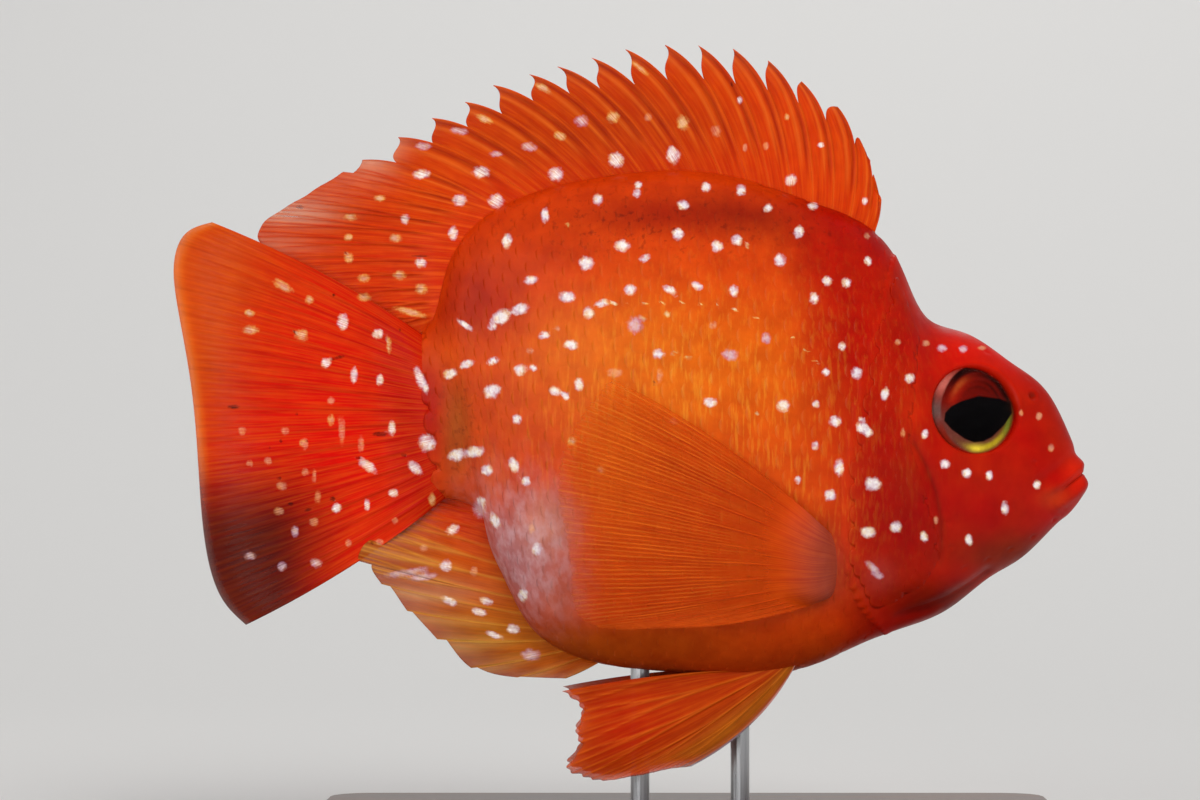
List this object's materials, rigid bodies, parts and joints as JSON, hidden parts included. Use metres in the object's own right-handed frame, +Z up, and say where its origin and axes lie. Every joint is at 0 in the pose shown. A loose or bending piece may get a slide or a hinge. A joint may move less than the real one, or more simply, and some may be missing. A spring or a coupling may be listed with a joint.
{
  "type": "blood parrot cichlid model on a display stand",
  "caption": "Still, life-size model of a young red and orange pearl-spotted cichlid, fins spread, held head slightly down over a flat base by short rods.",
  "frame": {"origin": "centre of the stand base's flat underside", "axes": "+X towards the fish's head, +Y towards its left side, +Z up"},
  "size_m": [0.097, 0.044, 0.0873],
  "materials": {
    "head_skin": "wet-looking deep red skin with pale pearl spots",
    "body_skin": "wet-looking orange and red scaled skin with pearl spots",
    "fin": "orange-red rayed membrane, thin and slightly translucent",
    "eye": "clear-coated eye with a dark pupil, red iris and gold lower rim",
    "stand_wood": "satin dark walnut",
    "stand_steel": "fine brushed steel"
  },
  "bodies": {
    "root": {"head": "head_skin", "torso": "body_skin", "tail_stalk": "body_skin", "eye_left": "eye", "eye_right": "eye", "dorsal_fin": "fin", "anal_fin": "fin", "caudal_fin": "fin", "pectoral_fin_left": "fin", "pectoral_fin_right": "fin", "pelvic_fin_left": "fin", "pelvic_fin_right": "fin", "stand_base": "stand_wood", "stand_rod_front": "stand_steel", "stand_rod_rear": "stand_steel"}
  },
  "joints": []
}
